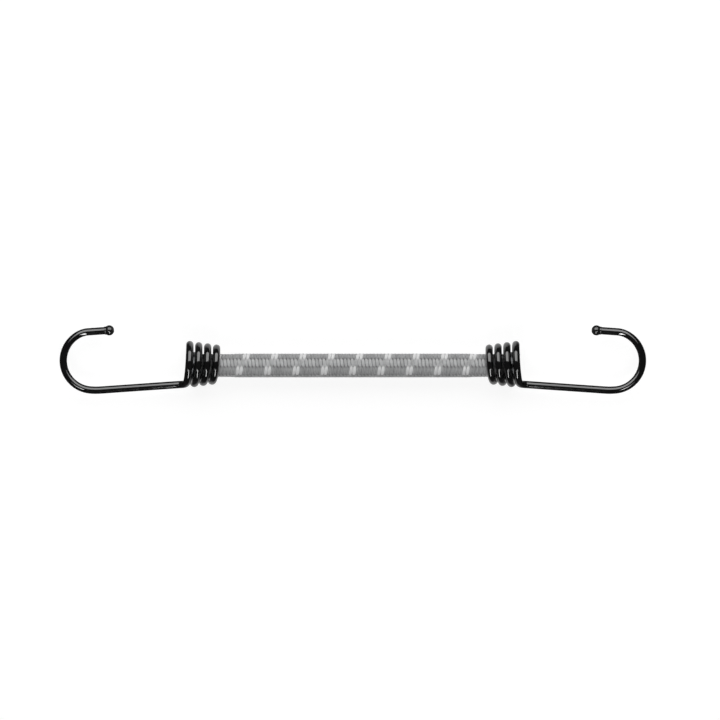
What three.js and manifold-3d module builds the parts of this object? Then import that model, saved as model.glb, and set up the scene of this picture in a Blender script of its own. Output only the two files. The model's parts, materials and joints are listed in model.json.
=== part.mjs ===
import * as THREE from 'three';
import Module from 'manifold-3d';
import { mergeVertices } from 'three/addons/utils/BufferGeometryUtils.js';

// A short bungee cord lying flat. X runs along the cord, Y lies in the plane of the
// hooks, with their tips towards +Y, and Z is up. Lengths are in millimetres.

// Cord: rubber strands inside a braided sheath
const cordDiameter = 9.9;
const cordSpan = 111.0;
const sheathWall = 0.75;
const sheathSides = 12;
const sheathStepDiameters = 2.5;
const strandRings = 3;
const strandsPerRing = 6;
const strandGap = 0.15;
const strandSeatGap = 0.1;
const strandSides = 8;

// Hook wire: one coated wire from the tip to the last turn of the coil
const wireDiameter = 3.0;
const wireSides = 10;

// Coil: it narrows towards the cord, so that the clip on the cord's end jams in it.
// Each turn leans, with its upper side nearer to the cord than a plain helix has it.
const coilTurns = 3.75;
const turnGap = 0.74;
const turnTaper = 0.5;
const turnLean = 0.7;
const stepsPerTurn = 24;
const cordDrop = 0.5;
const cordToTurnGap = 0.1;
const floorFlatDepth = 0.5;

// Elbow: where the wire leaves the flat hook and starts to wind
const elbowReach = 3.2;
const elbowPull = 2.2;
const elbowEndTurn = 0.08;
const elbowSteps = 7;

// Hook bend: shank, three arcs and a straight tip
const hookTilt = 4.0;
const shankLength = 32.5;
const runOutRadius = 27.0;
const runOutAngle = 9.5;
const bendRadius = 12.4;
const bendAngle = 145.2;
const shoulderRadius = 10.0;
const shoulderAngle = 25.3;
const tipLength = 10.9;
const arcStepAngle = 9;

// Tip cap: a moulded ball with a short neck, pushed over the end of the wire
const capBallDiameter = 4.24;
const capLength = 4.12;
const capGrip = 2.6;
const capNeckLength = 0.9;
const capBoreGap = 0.1;
const capSegments = 16;
const capArcSteps = 7;

// Cord clip: a steel strip bent round the cord, which can't pass the narrow turns
const clipThickness = 0.6;
const clipWidth = 4.5;
const clipToCordGap = 0.15;
const clipSeatGap = 0.1;
const clipSlit = 1.2;
const clipSegments = 28;
const cordEndOverhang = 0.9;

// Finishes
const coatedWireFinish = { color: 0x111213, roughness: 0.22, metalness: 0.0 };
const capFinish = { color: 0x0d0d0e, roughness: 0.3, metalness: 0.0 };
const sheathFinish = { color: 0x8f9193, roughness: 0.8, metalness: 0.0 };
const rubberFinish = { color: 0xd8cfb8, roughness: 0.6, metalness: 0.0 };
const clipFinish = { color: 0xb4b8bc, roughness: 0.35, metalness: 1.0 };

// Sizes that follow from the ones above
const cordRadius = cordDiameter / 2;
const sheathBoreRadius = cordRadius - sheathWall;
const wireRadius = wireDiameter / 2;
const turnPitch = wireDiameter + turnGap;
const tightTurn = Math.floor(coilTurns);
const tightTurnRadius = cordRadius + cordDrop + cordToTurnGap + wireRadius;
const coilStartRadius = tightTurnRadius + turnTaper * tightTurn;
const lastTurnLean = turnLean * Math.sin(2 * Math.PI * coilTurns);
const coilLength = turnPitch * coilTurns + lastTurnLean + wireRadius;
const coilStart = cordSpan / 2 + coilLength;
const capBoreRadius = wireRadius + capBoreGap;
const clipInnerRadius = cordRadius + clipToCordGap;
const clipOuterRadius = clipInnerRadius + clipThickness;
const clipJamRadius = clipOuterRadius + clipSeatGap + cordDrop + wireRadius;
const clipInnerEdge = turnPitch * (coilStartRadius - clipJamRadius) / turnTaper;
const cordEnd = clipInnerEdge - clipWidth - cordEndOverhang;
const cordLength = 2 * (coilStart - cordEnd);

const wasm = await Module();
wasm.setup();

// A closed tube with flat ends along a line of points. Its section is carried along
// the line with the least twist, so that the turns of a coil stay smooth.
function tubeAlong(points, radius, sides) {
  const positions = [];
  const faces = [];
  const side = new THREE.Vector3(0, 0, 1);
  const last = points.length - 1;
  for (let i = 0; i <= last; i += 1) {
    const before = points[Math.max(i - 1, 0)];
    const after = points[Math.min(i + 1, last)];
    const forward = after.clone().sub(before).normalize();
    side.addScaledVector(forward, -side.dot(forward)).normalize();
    const across = forward.clone().cross(side);
    for (let k = 0; k < sides; k += 1) {
      const angle = 2 * Math.PI * k / sides;
      const corner = points[i].clone();
      corner.addScaledVector(side, radius * Math.cos(angle));
      corner.addScaledVector(across, radius * Math.sin(angle));
      positions.push(corner.x, corner.y, corner.z);
    }
  }
  for (let i = 0; i < last; i += 1) {
    for (let k = 0; k < sides; k += 1) {
      const a = i * sides + k;
      const b = i * sides + (k + 1) % sides;
      faces.push(a, b, b + sides, a, b + sides, a + sides);
    }
  }
  for (let k = 1; k < sides - 1; k += 1) {
    faces.push(0, k + 1, k);
    faces.push(last * sides, last * sides + k, last * sides + k + 1);
  }
  return indexedGeometry(positions, faces);
}

function indexedGeometry(positions, faces) {
  const geometry = new THREE.BufferGeometry();
  geometry.setAttribute('position', new THREE.Float32BufferAttribute(positions, 3));
  geometry.setIndex(faces);
  geometry.computeVertexNormals();
  return geometry;
}

function toSolid(geometry) {
  const bare = new THREE.BufferGeometry();
  bare.setAttribute('position', geometry.getAttribute('position').clone());
  bare.setIndex(geometry.getIndex());
  const merged = mergeVertices(bare);
  return new wasm.Manifold(new wasm.Mesh({
    numProp: 3,
    vertProperties: new Float32Array(merged.getAttribute('position').array),
    triVerts: new Uint32Array(merged.getIndex().array),
  }));
}

function fromSolid(solid) {
  const mesh = solid.getMesh();
  return indexedGeometry(Array.from(mesh.vertProperties), Array.from(mesh.triVerts));
}

// Cuts away all of a body that reaches below the given height.
function cutBelow(geometry, height) {
  geometry.computeBoundingBox();
  const size = geometry.boundingBox.getSize(new THREE.Vector3());
  const middle = geometry.boundingBox.getCenter(new THREE.Vector3());
  const block = new THREE.BoxGeometry(2 * size.x, 2 * size.y, size.z);
  block.translate(middle.x, middle.y, height - size.z / 2);
  return fromSolid(toSolid(geometry).subtract(toSolid(block)));
}

// The same body seen in a mirror across the YZ plane.
function mirrored(geometry) {
  const positions = Array.from(geometry.getAttribute('position').array);
  const faces = Array.from(geometry.getIndex().array);
  for (let i = 0; i < positions.length; i += 3) {
    positions[i] = -positions[i];
  }
  for (let i = 0; i < faces.length; i += 3) {
    const kept = faces[i + 1];
    faces[i + 1] = faces[i + 2];
    faces[i + 2] = kept;
  }
  return indexedGeometry(positions, faces);
}

// A point on the coil's centreline, a number of turns after its start.
function coilPoint(turn) {
  const angle = 2 * Math.PI * turn;
  const radius = coilStartRadius - turnTaper * turn;
  return new THREE.Vector3(
    turnPitch * turn + turnLean * Math.sin(angle),
    -radius * Math.cos(angle),
    radius * Math.sin(angle),
  );
}

// Walks along the flat hook from the elbow to the tip, and keeps the points on the way.
class HookWalk {
  constructor(start, heading) {
    this.place = start.clone();
    this.heading = heading;
    this.points = [start.clone()];
  }

  direction() {
    const angle = THREE.MathUtils.degToRad(this.heading);
    return new THREE.Vector3(Math.cos(angle), Math.sin(angle), 0);
  }

  straight(length) {
    this.place.addScaledVector(this.direction(), length);
    this.points.push(this.place.clone());
  }

  turnRight(radius, angle) {
    const steps = Math.max(1, Math.round(angle / arcStepAngle));
    const step = angle / steps;
    const chord = 2 * radius * Math.sin(THREE.MathUtils.degToRad(step / 2));
    for (let i = 0; i < steps; i += 1) {
      this.heading -= step / 2;
      this.straight(chord);
      this.heading -= step / 2;
    }
  }
}

// The wire's centreline, from the tip to the coil's last turn. The coil's axis is the
// X axis, and its first turn starts at the origin's height below that axis.
function hookCentreline() {
  const elbowStart = new THREE.Vector3(-elbowReach, -coilStartRadius, 0);
  const walk = new HookWalk(elbowStart, 180 + hookTilt);
  const shankDirection = walk.direction().negate();
  walk.straight(shankLength);
  walk.turnRight(runOutRadius, runOutAngle);
  walk.turnRight(bendRadius, bendAngle);
  walk.turnRight(shoulderRadius, shoulderAngle);
  walk.straight(tipLength - (capLength - capGrip) - capBoreGap);

  const elbowEnd = coilPoint(elbowEndTurn);
  const coilStep = 1 / stepsPerTurn;
  const elbowEndDirection = coilPoint(elbowEndTurn + coilStep / 2);
  elbowEndDirection.sub(coilPoint(elbowEndTurn - coilStep / 2)).normalize();
  const elbow = new THREE.CubicBezierCurve3(
    elbowStart,
    elbowStart.clone().addScaledVector(shankDirection, elbowPull),
    elbowEnd.clone().addScaledVector(elbowEndDirection, -elbowPull),
    elbowEnd,
  );

  const points = walk.points.reverse();
  points.push(...elbow.getPoints(elbowSteps).slice(1));
  const coilSteps = Math.round((coilTurns - elbowEndTurn) * stepsPerTurn);
  for (let i = 1; i <= coilSteps; i += 1) {
    points.push(coilPoint(elbowEndTurn + (coilTurns - elbowEndTurn) * i / coilSteps));
  }
  return { points, tip: walk.place.clone(), tipDirection: walk.direction() };
}

// The smallest distance between two stretches of the wire that lie on different turns,
// less the wire's diameter.
function leastGapToItself(points) {
  const halfTurn = Math.PI * tightTurnRadius;
  const along = [0];
  for (let i = 1; i < points.length; i += 1) {
    along.push(along[i - 1] + points[i].distanceTo(points[i - 1]));
  }
  let least = Infinity;
  for (let i = 0; i < points.length; i += 1) {
    for (let k = i + 1; k < points.length; k += 1) {
      if (along[k] - along[i] > halfTurn) {
        least = Math.min(least, points[i].distanceTo(points[k]));
      }
    }
  }
  return least - wireDiameter;
}

// The cap's profile turns round the Y axis, with its open mouth at zero height.
function tipCapGeometry() {
  const ballRadius = capBallDiameter / 2;
  const ballHeight = capLength - ballRadius;
  const below = (ballHeight - capNeckLength) / ballRadius;
  const startAngle = -Math.asin(below);
  const neckRadius = ballRadius * Math.cos(startAngle);
  const profile = [
    new THREE.Vector2(0, capGrip),
    new THREE.Vector2(capBoreRadius, capGrip),
    new THREE.Vector2(capBoreRadius, 0),
    new THREE.Vector2(neckRadius, 0),
  ];
  for (let i = 0; i < capArcSteps; i += 1) {
    const angle = startAngle + (Math.PI / 2 - startAngle) * i / capArcSteps;
    profile.push(new THREE.Vector2(
      ballRadius * Math.cos(angle),
      ballHeight + ballRadius * Math.sin(angle),
    ));
  }
  profile.push(new THREE.Vector2(0, capLength));
  return new THREE.LatheGeometry(profile, capSegments);
}

// A regular polygon with its corners on a circle.
function polygon(radius, sides, centre, path) {
  for (let k = 0; k < sides; k += 1) {
    const angle = 2 * Math.PI * (k + 0.5) / sides;
    const x = centre.x + radius * Math.cos(angle);
    const y = centre.y + radius * Math.sin(angle);
    if (k === 0) {
      path.moveTo(x, y);
    } else {
      path.lineTo(x, y);
    }
  }
  path.closePath();
  return path;
}

// Lays an extrusion, which rises along Z, down along X with its middle at the origin.
function layAlongCord(geometry, length) {
  geometry.translate(0, 0, -length / 2);
  geometry.rotateY(Math.PI / 2);
  return geometry;
}

function sheathGeometry() {
  const centre = new THREE.Vector2(0, 0);
  const section = polygon(cordRadius, sheathSides, centre, new THREE.Shape());
  section.holes.push(polygon(sheathBoreRadius, sheathSides, centre, new THREE.Path()));
  const extrusion = new THREE.ExtrudeGeometry(section, {
    depth: cordLength,
    steps: Math.ceil(cordLength / (sheathStepDiameters * cordDiameter)),
    bevelEnabled: false,
  });
  return layAlongCord(extrusion, cordLength);
}

// The centres of the strands, on rings round a middle strand, and their radius, from
// the widest round packing that the sheath's bore takes.
function strandLayout() {
  const boreFlatRadius = sheathBoreRadius * Math.cos(Math.PI / sheathSides);
  const room = boreFlatRadius - strandSeatGap + strandGap / 2;
  const pitch = room / (strandRings + 0.5);
  const centres = [new THREE.Vector2(0, 0)];
  for (let ring = 1; ring <= strandRings; ring += 1) {
    const count = strandsPerRing * ring;
    for (let k = 0; k < count; k += 1) {
      const angle = 2 * Math.PI * (k + 0.5) / count;
      const x = pitch * ring * Math.cos(angle);
      const y = pitch * ring * Math.sin(angle);
      centres.push(new THREE.Vector2(x, y));
    }
  }
  return { centres, radius: (pitch - strandGap) / 2 };
}

function strandGeometry(centre, radius) {
  const section = polygon(radius, strandSides, centre, new THREE.Shape());
  const extrusion = new THREE.ExtrudeGeometry(section, {
    depth: cordLength,
    steps: 1,
    bevelEnabled: false,
  });
  return layAlongCord(extrusion, cordLength);
}

// The strip's section, with its slit at the top, as wide as the strip when extruded.
function clipGeometry() {
  const halfSlit = Math.asin(clipSlit / 2 / clipInnerRadius);
  const start = Math.PI / 2 + halfSlit;
  const sweep = 2 * (Math.PI - halfSlit);
  const section = new THREE.Shape();
  for (let i = 0; i <= clipSegments; i += 1) {
    const angle = start + sweep * i / clipSegments;
    const x = clipOuterRadius * Math.cos(angle);
    const y = clipOuterRadius * Math.sin(angle);
    if (i === 0) {
      section.moveTo(x, y);
    } else {
      section.lineTo(x, y);
    }
  }
  for (let i = clipSegments; i >= 0; i -= 1) {
    const angle = start + sweep * i / clipSegments;
    section.lineTo(clipInnerRadius * Math.cos(angle), clipInnerRadius * Math.sin(angle));
  }
  section.closePath();
  const extrusion = new THREE.ExtrudeGeometry(section, {
    depth: clipWidth,
    steps: 1,
    bevelEnabled: false,
  });
  return layAlongCord(extrusion, clipWidth);
}

function piece(name, geometry, finish) {
  const mesh = new THREE.Mesh(geometry, new THREE.MeshStandardMaterial(finish));
  mesh.name = name;
  return mesh;
}

// The left hook's wire and cap stand in the coil's own place, with the cord's axis
// below the coil's. The right hook is its mirror image.
const { points: wirePoints, tip, tipDirection } = hookCentreline();
const roundWire = tubeAlong(wirePoints, wireRadius, wireSides);
roundWire.computeBoundingBox();
const floorHeight = roundWire.boundingBox.min.z + floorFlatDepth;
const hookPlace = new THREE.Vector3(-coilStart, cordDrop, 0);
const wireGeometry = cutBelow(roundWire, floorHeight);
wireGeometry.translate(hookPlace.x, hookPlace.y, hookPlace.z);

const capMouth = tip.clone().addScaledVector(tipDirection, capBoreGap - capGrip);
const capGeometry = tipCapGeometry();
const capTurn = new THREE.Quaternion();
capTurn.setFromUnitVectors(new THREE.Vector3(0, 1, 0), tipDirection);
capGeometry.applyQuaternion(capTurn);
capGeometry.translate(capMouth.x, capMouth.y, capMouth.z);
capGeometry.translate(hookPlace.x, hookPlace.y, hookPlace.z);

const clipMiddle = -coilStart + clipInnerEdge - clipWidth / 2;
const leftClipGeometry = clipGeometry();
leftClipGeometry.translate(clipMiddle, 0, 0);
const rightClipGeometry = clipGeometry();
rightClipGeometry.translate(-clipMiddle, 0, 0);

console.log(`least gap of the hook wire to itself: ${leastGapToItself(wirePoints).toFixed(2)} mm`);

const bungee = new THREE.Group();
bungee.add(piece('left_hook_wire', wireGeometry, coatedWireFinish));
bungee.add(piece('right_hook_wire', mirrored(wireGeometry), coatedWireFinish));
bungee.add(piece('left_tip_cap', capGeometry, capFinish));
bungee.add(piece('right_tip_cap', mirrored(capGeometry), capFinish));
bungee.add(piece('left_cord_clip', leftClipGeometry, clipFinish));
bungee.add(piece('right_cord_clip', rightClipGeometry, clipFinish));
bungee.add(piece('braided_sheath', sheathGeometry(), sheathFinish));
const strands = strandLayout();
strands.centres.forEach((centre, index) => {
  const number = String(index + 1).padStart(2, '0');
  const geometry = strandGeometry(centre, strands.radius);
  bungee.add(piece(`rubber_strand_${number}`, geometry, rubberFinish));
});

// The origin is the middle of the face that the object rests on.
const bounds = new THREE.Box3().setFromObject(bungee, true);
const middle = bounds.getCenter(new THREE.Vector3());
bungee.position.set(-middle.x, -middle.y, -bounds.min.z);
bungee.updateMatrixWorld(true);

export default bungee;
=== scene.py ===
"""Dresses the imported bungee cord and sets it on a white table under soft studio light.

The hook wires, tip caps, cord clips, braided sheath and rubber core are each a class
that builds its own meshes in metres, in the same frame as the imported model.
"""

import json
import logging
import math
from dataclasses import dataclass, field
from enum import Enum

import bpy
import numpy as np
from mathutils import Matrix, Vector


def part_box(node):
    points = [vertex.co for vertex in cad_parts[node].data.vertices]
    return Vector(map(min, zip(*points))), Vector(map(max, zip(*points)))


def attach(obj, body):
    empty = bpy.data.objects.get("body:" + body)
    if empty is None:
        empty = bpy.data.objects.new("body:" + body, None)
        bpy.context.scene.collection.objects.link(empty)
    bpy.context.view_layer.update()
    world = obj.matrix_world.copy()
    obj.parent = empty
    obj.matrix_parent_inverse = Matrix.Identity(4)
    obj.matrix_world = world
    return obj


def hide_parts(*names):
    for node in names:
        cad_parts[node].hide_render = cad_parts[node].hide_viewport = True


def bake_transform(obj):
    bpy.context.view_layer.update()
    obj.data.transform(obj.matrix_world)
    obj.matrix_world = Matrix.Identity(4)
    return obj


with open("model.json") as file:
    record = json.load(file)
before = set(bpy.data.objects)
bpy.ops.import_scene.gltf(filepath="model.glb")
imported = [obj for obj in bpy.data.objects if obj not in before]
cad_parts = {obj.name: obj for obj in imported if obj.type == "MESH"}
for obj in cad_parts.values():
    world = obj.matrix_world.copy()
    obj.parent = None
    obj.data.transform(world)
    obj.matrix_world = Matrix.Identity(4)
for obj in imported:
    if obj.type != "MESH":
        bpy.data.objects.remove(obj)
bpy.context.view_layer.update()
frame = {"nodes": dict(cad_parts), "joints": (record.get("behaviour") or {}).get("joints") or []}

MM = 0.001
FULL_TURN = 2.0 * math.pi
UP = np.array([0.0, 0.0, 1.0])
WHITE = (1.0, 1.0, 1.0, 1.0)
DETUNE = (0.8, 1.2)  # How far the length of a wandering wave may be off.
LOG = logging.getLogger("bungee")

Colour = tuple[float, float, float]
Grain = tuple[float, float]
Material = bpy.types.Material
Piece = bpy.types.Object
Socket = bpy.types.NodeSocket


class Side(Enum):
    """The end of the cord that a piece belongs to; the value is the sign of its X."""

    LEFT = -1
    RIGHT = 1

    @property
    def word(self) -> str:
        """The side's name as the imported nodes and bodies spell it."""
        return self.name.lower()


class Lean(Enum):
    """Which way a braid yarn leans, seen from above; the value is its turning sense."""

    FORWARD = 1
    BACKWARD = -1


def smooth_noise(place: np.ndarray, seed: int, waves: int = 4) -> np.ndarray:
    """Gives a smooth wandering value that is the same on every run.

    Args:
        place: Where along the piece the value is wanted, in radians of its base wave.
        seed: Picks the phases, so that no two pieces wander alike.
        waves: How many sine waves are added.

    Returns:
        Values that stay between about -1 and 1, one for each place.
    """
    chance = np.random.default_rng(seed)
    total = np.zeros_like(place, dtype=float)
    for wave in range(1, waves + 1):
        total += np.sin(place * wave * chance.uniform(*DETUNE) + chance.uniform(0, FULL_TURN))
    return total / waves


def smoothstep(share: np.ndarray) -> np.ndarray:
    """Eases a share from 0 to 1 with level ends."""
    held = np.clip(share, 0.0, 1.0)
    return held * held * (3.0 - 2.0 * held)


def angles_round(count: int) -> np.ndarray:
    """Angles at equal steps once round, starting at zero."""
    return FULL_TURN * np.arange(count) / count


def unit(rows: np.ndarray) -> np.ndarray:
    """Brings a direction, or each row of several, to length one."""
    return rows / np.linalg.norm(rows, axis=-1, keepdims=True)


def carried_frames(line: np.ndarray, start_side: np.ndarray) -> tuple[np.ndarray, np.ndarray]:
    """Carries a pair of cross directions along a line with the least twist.

    Args:
        line: The points of the line, rows of three.
        start_side: A direction that the first side direction is made from.

    Returns:
        Two arrays, the side directions and the directions square to them and the line.
    """
    before = np.concatenate([line[:1], line[:-1]])
    after = np.concatenate([line[1:], line[-1:]])
    forward = unit(after - before)
    sides = np.empty_like(line)
    side = start_side
    for index, direction in enumerate(forward):
        side = unit(side - direction * side.dot(direction))
        sides[index] = side
    return sides, np.cross(forward, sides)


@dataclass
class MeshDraft:
    """Points, faces and painted values of a mesh that is being built."""

    # Blocks of points, each an array of rows of three.
    points: list[np.ndarray] = field(default_factory=list)
    faces: list[tuple[int, ...]] = field(default_factory=list)  # Faces as tuples of point numbers.
    slots: list[int] = field(default_factory=list)  # The material slot of each face.
    # Named values, one for each point, in blocks like the points.
    painted: dict[str, list[np.ndarray]] = field(default_factory=dict)

    def add_points(self, points: np.ndarray, **painted: np.ndarray) -> int:
        """Adds a block of points with its painted values.

        Args:
            points: Rows of three, in metres.
            **painted: A value for each point, under the name that a material reads.

        Returns:
            The number of the block's first point.
        """
        first = sum(len(block) for block in self.points)
        self.points.append(np.asarray(points, dtype=float).reshape(-1, 3))
        for name, values in painted.items():
            self.painted.setdefault(name, []).append(np.asarray(values, dtype=float).ravel())
        return first

    def add_face(self, corners: tuple[int, ...], slot: int = 0) -> None:
        """Adds one face with the material slot that it takes."""
        self.faces.append(corners)
        self.slots.append(slot)

    def add_tube(self, rings: np.ndarray, slot: int = 0, end_slots: tuple[int, ...] = (0, 0),
                 closed: bool = False, **painted: np.ndarray) -> int:
        """Joins rings of points into a tube.

        Args:
            rings: An array of rings by corners by three.
            slot: The material slot of the tube's wall.
            end_slots: The slots of a flat face at the first and the last end, or nothing
                to leave the ends open.
            closed: Whether the last ring is joined to the first one.
            **painted: Values for the points, as for add_points.

        Returns:
            The number of the first ring's first point.
        """
        count, sides = rings.shape[:2]
        first = self.add_points(rings, **painted)
        for ring in range(count if closed else count - 1):
            here = first + ring * sides
            there = first + (ring + 1) % count * sides
            for corner in range(sides):
                beside = (corner + 1) % sides
                self.add_face((here + corner, here + beside, there + beside, there + corner), slot)
        if end_slots:
            last = first + (count - 1) * sides
            self.add_face(tuple(reversed(range(first, first + sides))), end_slots[0])
            self.add_face(tuple(range(last, last + sides)), end_slots[1])
        return first

    def mirror(self) -> None:
        """Mirrors the draft across the plane where X is zero, faces outwards as before."""
        self.points = [block * np.array([-1.0, 1.0, 1.0]) for block in self.points]
        self.faces = [tuple(reversed(corners)) for corners in self.faces]

    def to_object(self, name: str, materials: list[Material], crease_degrees: float = 40.0) -> Piece:
        """Makes the mesh object and links it to the scene.

        Args:
            name: The piece's name.
            materials: Its material slots, in order.
            crease_degrees: Edges that turn more than this stay sharp.

        Returns:
            The new object, smooth shaded.
        """
        mesh = bpy.data.meshes.new(name)
        mesh.from_pydata(np.concatenate(self.points), [], self.faces)
        for material in materials:
            mesh.materials.append(material)
        mesh.polygons.foreach_set("material_index", self.slots)
        for label, blocks in self.painted.items():
            layer = mesh.attributes.new(label, "FLOAT", "POINT")
            layer.data.foreach_set("value", np.concatenate(blocks))
        mesh.validate()
        mesh.shade_smooth()
        mesh.set_sharp_from_angle(angle=math.radians(crease_degrees))
        piece = bpy.data.objects.new(name, mesh)
        bpy.context.scene.collection.objects.link(piece)
        return piece


class Nodes:
    """A node tree and short ways to add nodes to it."""

    def __init__(self, tree: bpy.types.NodeTree) -> None:
        """Takes the tree that the nodes go into."""
        self.tree = tree

    def node(self, kind: str, inputs: dict[str | int, object] | None = None,
             **settings: object) -> bpy.types.Node:
        """Adds a node.

        Args:
            kind: The node's type without its ShaderNode prefix.
            inputs: Socket names or numbers, each with a value or a socket to link from.
            **settings: The node's own settings.

        Returns:
            The new node.
        """
        made = self.tree.nodes.new("ShaderNode" + kind)
        for setting, value in settings.items():
            setattr(made, setting, value)
        for socket, value in (inputs or {}).items():
            if isinstance(value, Socket):
                self.tree.links.new(value, made.inputs[socket])
            else:
                made.inputs[socket].default_value = value
        return made

    def maths(self, operation: str, first: object, *others: object) -> Socket:
        """Works out a sum, a product or the like.

        Args:
            operation: The Math node's operation.
            first: The first value or socket.
            *others: Further ones, each joined in turn to the result so far.

        Returns:
            The last result.
        """
        for other in others or (0.0,):
            first = self.node("Math", {0: first, 1: other}, operation=operation).outputs[0]
        return first

    def noise(self, scale: float, detail: float, vector: Socket | None = None) -> Socket:
        """Adds a noise texture over the piece.

        Args:
            scale: Features for each metre, or for each unit of the given vector.
            detail: How many finer layers are added.
            vector: The coordinates, or nothing for the piece's own place in metres.

        Returns:
            Its value.
        """
        where = vector or self.node("TexCoord").outputs["Object"]
        return self.node("TexNoise", {"Vector": where, "Scale": scale, "Detail": detail}).outputs["Fac"]

    def spread(self, value: Socket, low: float, high: float,
               from_low: float = 0.3, from_high: float = 0.7) -> Socket:
        """Maps a range, the usual one of a noise if none is given, onto another one.

        Args:
            value: The value to map.
            low: What the range's low end becomes.
            high: What its high end becomes.
            from_low: The range's low end.
            from_high: Its high end.

        Returns:
            The result, held at its ends.
        """
        made = self.node("MapRange", {"Value": value, "From Min": from_low, "From Max": from_high,
                                      "To Min": low, "To Max": high})
        return made.outputs["Result"]

    def blend(self, share: Socket, first: Colour, second: Colour) -> Socket:
        """Mixes two colours.

        Args:
            share: How much of the second colour is taken, from 0 to 1.
            first: The colour at 0.
            second: The colour at 1.

        Returns:
            The mixed colour.
        """
        made = self.node("Mix", {"Factor": share, "A": (*first, 1.0), "B": (*second, 1.0)},
                         data_type="RGBA")
        return made.outputs["Result"]

    def painted(self, name: str) -> Socket:
        """Reads a value that was painted on the mesh's points."""
        return self.node("Attribute", attribute_name=name).outputs["Fac"]


class Shader(Nodes):
    """A Principled material and short ways to feed it."""

    def __init__(self, name: str, **values: float | tuple[float, ...]) -> None:
        """Makes the material.

        Args:
            name: The material's name.
            **values: Values of the Principled shader's own sockets, with _ for a space.
        """
        self.material = bpy.data.materials.new(name)
        self.material.use_nodes = True
        super().__init__(self.material.node_tree)
        self.surface = self.tree.nodes["Principled BSDF"]
        for socket, value in values.items():
            self.surface.inputs[socket.replace("_", " ")].default_value = value

    def feed(self, socket: str, source: Socket) -> None:
        """Links a value into one of the Principled shader's sockets."""
        self.tree.links.new(source, self.surface.inputs[socket])

    def bump(self, height: Socket, distance: float, strength: float = 1.0) -> None:
        """Raises the surface by a height value times a distance in metres."""
        made = self.node("Bump", {"Height": height, "Distance": distance, "Strength": strength})
        self.feed("Normal", made.outputs["Normal"])


@dataclass(frozen=True)
class Finish:
    """A finish with two tones in patches, a wandering roughness and a fine relief.

    A grain is a noise: its features for each metre, and how many finer layers it has.
    """

    name: str  # The material's name.
    slot: str  # The record's material slot.
    dark: Colour  # The tone of one half of the patches.
    light: Colour  # The tone of the other half.
    patches: Grain  # The grain of the patches.
    wear: Grain  # The grain by which the roughness wanders.
    smooth: float  # The least roughness.
    dull: float  # The greatest roughness.
    relief: Grain  # The grain of the relief.
    relief_depth: float  # The height of the relief, in metres.
    # Values of the shader's own sockets, as for Shader.
    shine: dict[str, float] = field(default_factory=dict)

    def build(self) -> Material:
        """Makes the material.

        Returns:
            The new material.
        """
        shader = Shader(self.name, **self.shine)
        patches = shader.spread(shader.noise(*self.patches), 0.0, 1.0)
        shader.feed("Base Color", shader.blend(patches, self.dark, self.light))
        shader.feed("Roughness", shader.spread(shader.noise(*self.wear), self.smooth, self.dull))
        shader.bump(shader.noise(*self.relief), self.relief_depth)
        return shader.material


# The black coat on the wire: wet gloss, with rub marks and a faint orange peel.
VINYL_COAT = Finish(
    "gloss_black_coat", "coated_wire", dark=(0.002, 0.002, 0.0021), light=(0.005, 0.005, 0.0054),
    patches=(260.0, 6.0), wear=(260.0, 6.0), smooth=0.05, dull=0.11,
    relief=(900.0, 2.0), relief_depth=0.006 * MM,
    shine={"Specular_IOR_Level": 0.8, "Coat_Weight": 1.0, "Coat_Roughness": 0.03})

# The tip caps' moulded plastic, a little softer in gloss than the coat.
CAP_PLASTIC = Finish(
    "moulded_black_cap", "tip_cap", dark=(0.006, 0.006, 0.006), light=(0.013, 0.013, 0.013),
    patches=(2400.0, 4.0), wear=(500.0, 3.0), smooth=0.12, dull=0.24,
    relief=(2400.0, 4.0), relief_depth=0.004 * MM,
    shine={"Specular_IOR_Level": 0.8, "Coat_Weight": 0.7, "Coat_Roughness": 0.06})

# The cut end of the wire, where dull sheared steel shows inside the coat.
CUT_STEEL = Finish(
    "cut_steel", "coated_wire", dark=(0.20, 0.19, 0.185), light=(0.42, 0.41, 0.40),
    patches=(5200.0, 5.0), wear=(5200.0, 5.0), smooth=0.3, dull=0.5,
    relief=(5200.0, 5.0), relief_depth=0.01 * MM, shine={"Metallic": 1.0})

# The heat-cut edge of the braid, where the yarn has melted into a hard rim.
FUSED_YARN = Finish(
    "fused_braid_rim", "braid", dark=(0.10, 0.10, 0.105), light=(0.24, 0.24, 0.25),
    patches=(900.0, 6.0), wear=(900.0, 6.0), smooth=0.28, dull=0.55,
    relief=(900.0, 6.0), relief_depth=0.05 * MM)

# The natural rubber of the core strands, with talc lying in patches.
LATEX_RUBBER = Finish(
    "latex_rubber", "strand_rubber", dark=(0.50, 0.42, 0.28), light=(0.70, 0.66, 0.56),
    patches=(1100.0, 5.0), wear=(1100.0, 5.0), smooth=0.45, dull=0.75,
    relief=(3600.0, 3.0), relief_depth=0.02 * MM, shine={"Specular_IOR_Level": 0.4})


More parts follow.
